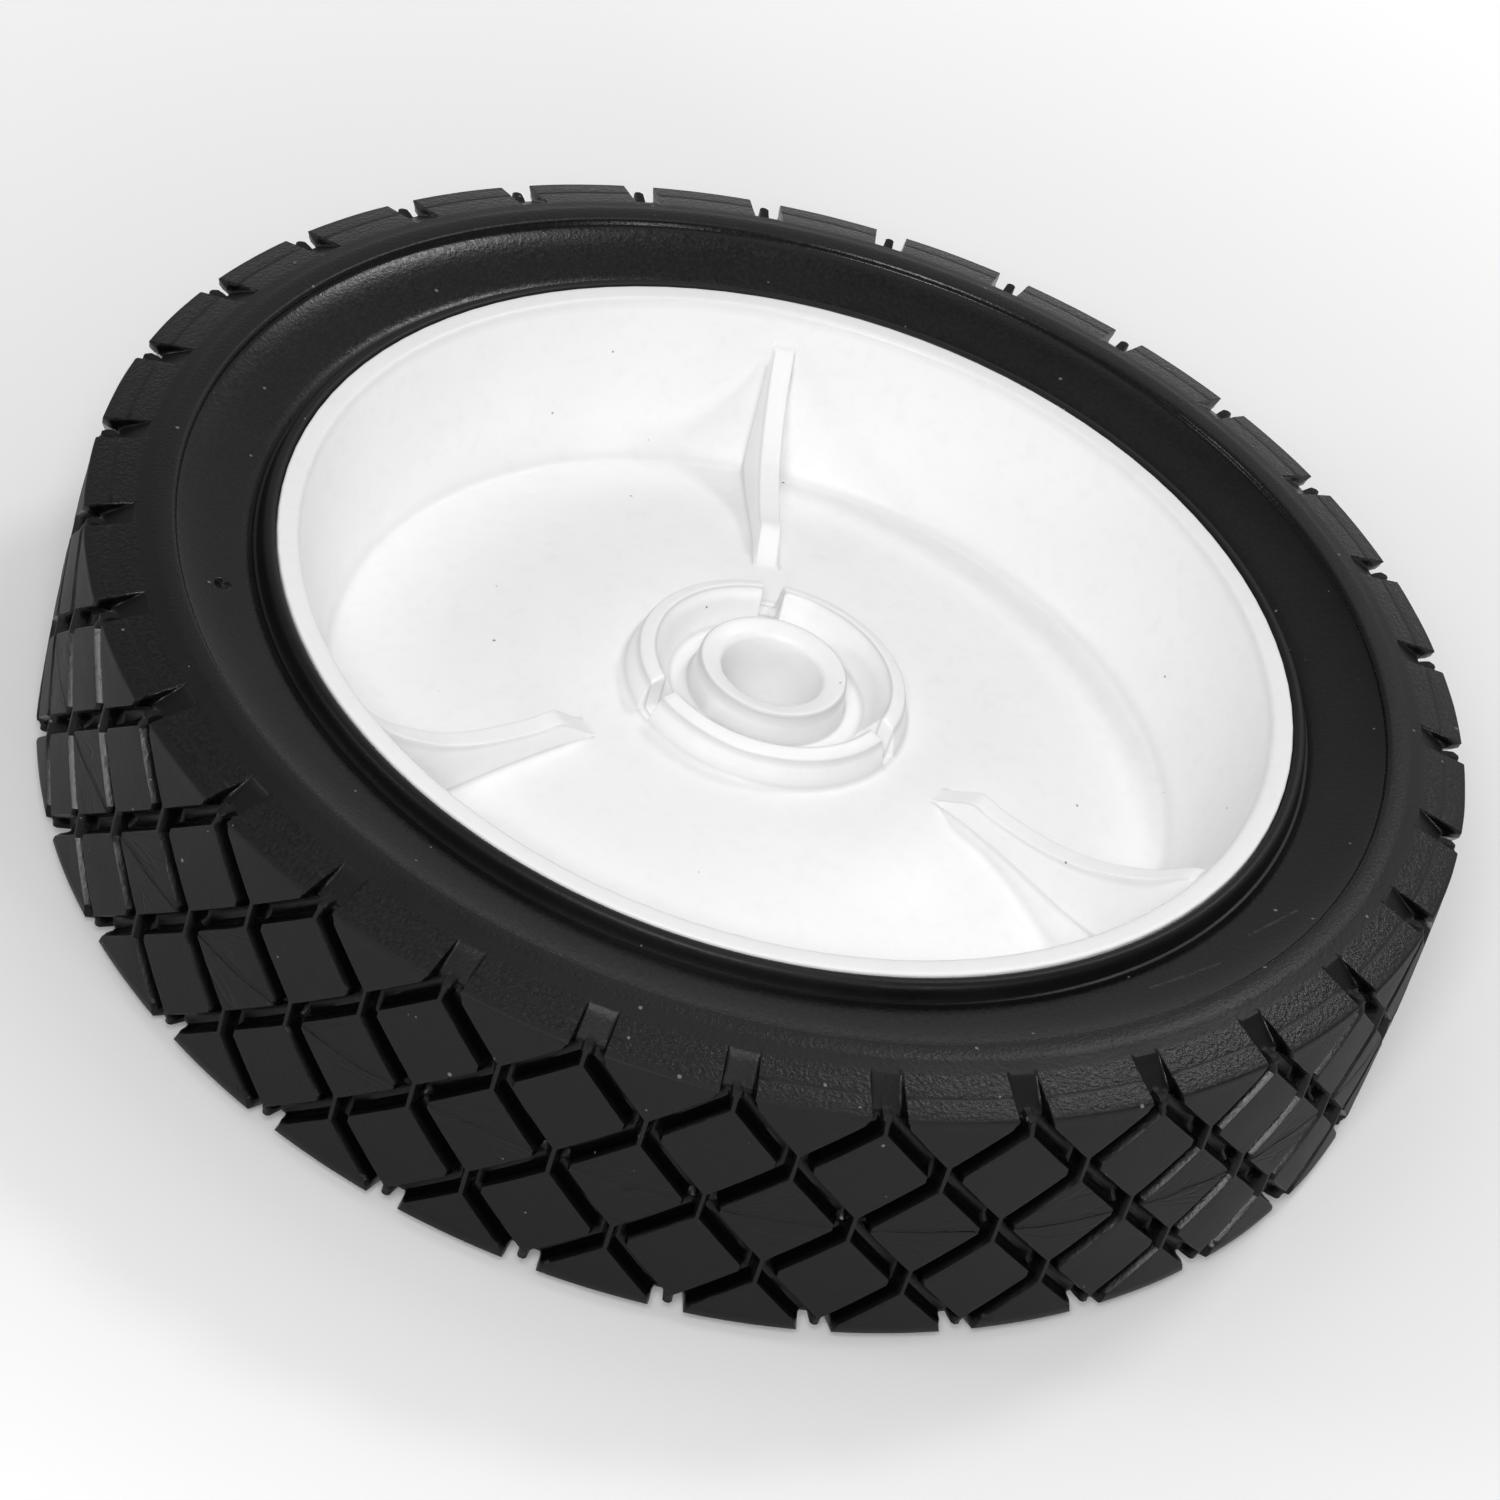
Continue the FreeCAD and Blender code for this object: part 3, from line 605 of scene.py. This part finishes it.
def scuff(nt, coord, start, end):
    """A thin straight mark on the front sidewall: 1 on its line."""
    a, b = [Vector((r * math.cos(math.radians(t)), r * math.sin(math.radians(t)), 0.9)) * 0.001 for r, t in (start, end)]
    flat = nt.nodes.new("ShaderNodeVectorMath")
    flat.operation = "MULTIPLY"
    nt.links.new(coord, flat.inputs[0])
    flat.inputs[1].default_value = (1.0, 1.0, 0.05)
    rel = nt.nodes.new("ShaderNodeVectorMath")
    rel.operation = "SUBTRACT"
    nt.links.new(flat.outputs[0], rel.inputs[0])
    rel.inputs[1].default_value = a
    along = nt.nodes.new("ShaderNodeVectorMath")
    along.operation = "DOT_PRODUCT"
    nt.links.new(rel.outputs[0], along.inputs[0])
    along.inputs[1].default_value = (b - a) / (b - a).length_squared
    part = nt.nodes.new("ShaderNodeClamp")
    nt.links.new(along.outputs["Value"], part.inputs[0])
    foot = nt.nodes.new("ShaderNodeVectorMath")
    foot.operation = "SCALE"
    foot.inputs[0].default_value = b - a
    nt.links.new(part.outputs[0], foot.inputs["Scale"])
    off = nt.nodes.new("ShaderNodeVectorMath")
    off.operation = "DISTANCE"
    nt.links.new(rel.outputs[0], off.inputs[0])
    nt.links.new(foot.outputs[0], off.inputs[1])
    band = nt.nodes.new("ShaderNodeMapRange")
    for key, val in (("From Min", 0.0), ("From Max", 0.0003), ("To Min", 1.0), ("To Max", 0.0)):
        band.inputs[key].default_value = val
    nt.links.new(off.outputs["Value"], band.inputs["Value"])
    return band.outputs["Result"]


def rubber():
    mat, nt, bsdf = new_material("tyre_rubber")
    coord = nt.nodes.new("ShaderNodeTexCoord").outputs["Object"]
    wall, grained, fold = attribute(nt, "marks")
    px, pz, pn = attribute(nt, "place")
    gloss, tread, _ = attribute(nt, "gloss")
    cloud = noise_node(nt, coord, 70.0, 5.0, 0.65)
    fine = noise_node(nt, coord, 1500.0, 2.0, 0.6)
    mottle = noise_node(nt, coord, 1900.0, 3.0, 0.6)
    dust = dots(nt, coord, 520.0, 0.14, 0.16)
    # colour: near-black rubber, groove walls, groove floors and notch floors painted darker as shade, greyer bloom on
    # the grained shoulder, pale specks of dust
    body = ramp(nt, cloud, [(0.3, grey(0.0032)), (0.7, grey(0.0055))])
    # painted shade: the wall share darkens the groove walls, the middle of the groove floors and the notch floors
    body = mix_colour(nt, wall, body, grey(0.0012))
    bloom = ramp(nt, mottle, [(0.38, grey(0.0025)), (0.62, grey(0.008))])
    body = mix_colour(nt, grained, body, bloom)
    body = mix_colour(nt, dust, body, grey(0.13))
    worn = ramp(nt, fine, [(0.4, grey(0.15)), (0.6, grey(1.0))])
    for a, b in SCUFFS:
        body = mix_colour(nt, math_node(nt, "MULTIPLY", scuff(nt, coord, a, b), worn), body, grey(0.035))
    nt.links.new(body, bsdf.inputs["Base Color"])
    # finish: satin tops, shinier mould-polished groove walls, rough grained bands
    rough = ramp(nt, cloud, [(0.3, grey(0.40)), (0.7, grey(0.50))])
    rough = mix_value(nt, gloss, rough, ramp(nt, fine, [(0.3, grey(0.18)), (0.7, grey(0.32))]))
    rough = mix_value(nt, tread, rough, ramp(nt, cloud, [(0.3, grey(0.58)), (0.7, grey(0.68))]))
    rough = mix_value(nt, wall, rough, 0.25)
    rough = mix_value(nt, grained, rough, 0.27)
    nt.links.new(rough, bsdf.inputs["Roughness"])
    bsdf.inputs["Specular IOR Level"].default_value = 0.27
    # relief: fine rubber grain, coarse grain of the shoulder, fan of faint folds on the parting diamonds
    reach = math_node(nt, "ADD", px, 8.4)
    wobble = math_node(nt, "MULTIPLY", noise_node(nt, coord, 260.0, 2.0, 0.5), 0.10)
    turn = math_node(nt, "ADD", math_node(nt, "ARCTAN2", pz, reach), wobble)
    fan = nt.nodes.new("ShaderNodeCombineXYZ")
    nt.links.new(math_node(nt, "MULTIPLY", turn, 4.2), fan.inputs[0])
    nt.links.new(math_node(nt, "MULTIPLY", pn, 3.7), fan.inputs[1])
    nt.links.new(math_node(nt, "MULTIPLY", reach, 0.06), fan.inputs[2])
    swell = noise_node(nt, fan.outputs[0], 1.0, 1.0, 0.5)
    away = math_node(nt, "ABSOLUTE", math_node(nt, "SUBTRACT", swell, 0.5))
    crease = nt.nodes.new("ShaderNodeMapRange")
    for key, val in (("From Min", 0.0), ("From Max", 0.03), ("To Min", 0.0), ("To Max", 1.0)):
        crease.inputs[key].default_value = val
    nt.links.new(away, crease.inputs["Value"])
    normal = bump_node(nt, crease.outputs["Result"], math_node(nt, "MULTIPLY", fold, 0.55), 0.00022)
    normal = bump_node(nt, mottle, mix_value(nt, grained, 0.10, 0.42), 0.00032, normal)
    normal = bump_node(nt, fine, mix_value(nt, gloss, 0.22, 0.12), 0.00016, normal)
    # one small moulding pit in the sidewall
    apart = nt.nodes.new("ShaderNodeVectorMath")
    apart.operation = "DISTANCE"
    nt.links.new(coord, apart.inputs[0])
    apart.inputs[1].default_value = (-0.0618, 0.0375, 0.01745)
    pit = nt.nodes.new("ShaderNodeMapRange")
    pit.interpolation_type = "SMOOTHSTEP"
    for key, val in (("From Min", 0.0), ("From Max", 0.0013), ("To Min", 0.0), ("To Max", 1.0)):
        pit.inputs[key].default_value = val
    nt.links.new(apart.outputs["Value"], pit.inputs["Value"])
    normal = bump_node(nt, pit.outputs["Result"], 1.0, 0.0008, normal)
    nt.links.new(normal, bsdf.inputs["Normal"])
    return mat


def plastic():
    mat, nt, bsdf = new_material("hub_plastic")
    coord = nt.nodes.new("ShaderNodeTexCoord").outputs["Object"]
    crease = attribute(nt, "marks")[0]
    cloud = noise_node(nt, coord, 45.0, 4.0, 0.6)
    speck = noise_node(nt, coord, 420.0, 3.0, 0.6)
    # colour: white plastic, faintly mottled, painted shade along the feet of the ribs, at the boss and ring edges, at
    # the foot of the dish wall and over the lip, a few dark specks
    body = ramp(nt, cloud, [(0.3, grey(0.875)), (0.7, grey(0.905))])
    body = mix_colour(nt, ramp(nt, speck, [(0.52, grey(0.0)), (0.72, grey(0.5))]), body, grey(0.84))
    # painted shade from the marks attribute
    body = mix_colour(nt, crease, body, grey(0.56))
    body = mix_colour(nt, dots(nt, coord, 190.0, 0.045, 0.6), body, grey(0.28))
    nt.links.new(body, bsdf.inputs["Base Color"])
    nt.links.new(ramp(nt, cloud, [(0.3, grey(0.36)), (0.7, grey(0.46))]), bsdf.inputs["Roughness"])
    peel = noise_node(nt, coord, 260.0, 3.0, 0.5)
    normal = bump_node(nt, peel, 0.28, 0.00022)
    nt.links.new(normal, bsdf.inputs["Normal"])
    return mat


# --------------------------------------------------------------------------------------------------
# pieces
# --------------------------------------------------------------------------------------------------
tyre = build_tyre()
tyre.data.materials.append(rubber())
keep_flats(tyre, 38)
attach(tyre, "root")
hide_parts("tyre")

hub = build_hub()
hub.data.materials.append(plastic())
keep_flats(hub, 60)
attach(hub, "root")
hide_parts("wheel_hub")

# --------------------------------------------------------------------------------------------------
# floor, light, camera
# --------------------------------------------------------------------------------------------------
FLOOR_Z = -0.0201
bpy.ops.mesh.primitive_plane_add(size=8.0, location=(0, 0, FLOOR_Z))
floor = bpy.context.object
floor.name = "floor"
fmat, fnt, fbsdf = new_material("floor_paper")
fbsdf.inputs["Base Color"].default_value = grey(0.74)
fbsdf.inputs["Roughness"].default_value = 0.9
fbsdf.inputs["Emission Color"].default_value = grey(1.0)
# painted light: the floor glows, faintly next to the wheel and more strongly further out, which paints a soft shadow
# round the wheel
spread = fnt.nodes.new("ShaderNodeVectorMath")
spread.operation = "LENGTH"
fnt.links.new(fnt.nodes.new("ShaderNodeTexCoord").outputs["Object"], spread.inputs[0])
floor_glow_ramp = fnt.nodes.new("ShaderNodeMapRange")
for key, val in (("From Min", 0.095), ("From Max", 0.32), ("To Min", 0.12), ("To Max", 0.5)):
    floor_glow_ramp.inputs[key].default_value = val
fnt.links.new(spread.outputs["Value"], floor_glow_ramp.inputs["Value"])
# the paper also glows up the open bore
glow = fnt.nodes.new("ShaderNodeMapRange")
for key, val in (("From Min", 0.007), ("From Max", 0.012), ("To Min", 1.0), ("To Max", 0.0)):
    glow.inputs[key].default_value = val
fnt.links.new(spread.outputs["Value"], glow.inputs["Value"])
fnt.links.new(math_node(fnt, "ADD", floor_glow_ramp.outputs["Result"], glow.outputs["Result"]),
              fbsdf.inputs["Emission Strength"])
floor.data.materials.append(fmat)

CAM = Vector((-0.4632013, -0.3262746, 0.453179))
RIGHT = Vector((0.706401, -0.6653311, 0.2412903))
UP = Vector((0.3103657, 0.5975932, 0.7392578))
BACK = Vector((-0.6360446, -0.4473242, 0.6287105))
cam_data = bpy.data.cameras.new("camera")
cam_data.sensor_width = 36.0
cam_data.lens = 5745.47 / 1500.0 * 36.0
cam_data.clip_start = 0.01
cam_data.clip_end = 50.0
cam = bpy.data.objects.new("camera", cam_data)
bpy.context.scene.collection.objects.link(cam)
cam.matrix_world = Matrix((
    (RIGHT.x, UP.x, BACK.x, CAM.x),
    (RIGHT.y, UP.y, BACK.y, CAM.y),
    (RIGHT.z, UP.z, BACK.z, CAM.z),
    (0, 0, 0, 1)))
bpy.context.scene.camera = cam


def area_light(name, where, aim, size, watts, size_y=None):
    data = bpy.data.lights.new(name, "AREA")
    data.energy = watts
    data.shape = "RECTANGLE"
    data.size = size
    data.size_y = size_y or size
    ob = bpy.data.objects.new(name, data)
    bpy.context.scene.collection.objects.link(ob)
    ob.location = where
    ob.rotation_mode = "QUATERNION"
    ob.rotation_quaternion = (Vector(aim) - Vector(where)).to_track_quat("-Z", "Y")
    return ob


world = bpy.data.worlds.new("studio")
bpy.context.scene.world = world
world.use_nodes = True
bg = world.node_tree.nodes["Background"]
bg.inputs["Color"].default_value = grey(1.0)
wnt = world.node_tree
sky = wnt.nodes.new("ShaderNodeVectorMath")
sky.operation = "DOT_PRODUCT"
sky.inputs[1].default_value = (0.866, 0.5, 0.0)
wnt.links.new(wnt.nodes.new("ShaderNodeTexCoord").outputs["Generated"], sky.inputs[0])
far = math_node(wnt, "POWER", math_node(wnt, "MAXIMUM", sky.outputs["Value"], 0.0), 2.0)
wnt.links.new(math_node(wnt, "MULTIPLY_ADD", far, 0.33, 0.235), bg.inputs["Strength"])


def around(azimuth, elevation, distance):
    a, e = math.radians(azimuth), math.radians(elevation)
    return (distance * math.cos(e) * math.cos(a), distance * math.cos(e) * math.sin(a), distance * math.sin(e))


area_light("key", around(212, 43, 0.85), (0, 0, 0), 0.22, 3.75)
area_light("top", around(200, 84, 1.0), (0, 0, 0), 0.8, 1.5, 0.8)
area_light("window", around(2, 53, 1.0), (0, 0, 0), 0.16, 1.8, 0.16)
area_light("lamp_right", around(262, 14, 0.9), (0, 0, 0), 0.14, 1.1)
area_light("lamp_left", around(145, 20, 0.9), (0, 0, 0), 0.14, 0.8)

vs = bpy.context.scene.view_settings
vs.view_transform = "Standard"
vs.look = "None"
vs.exposure = 0.0
vs.gamma = 1.0
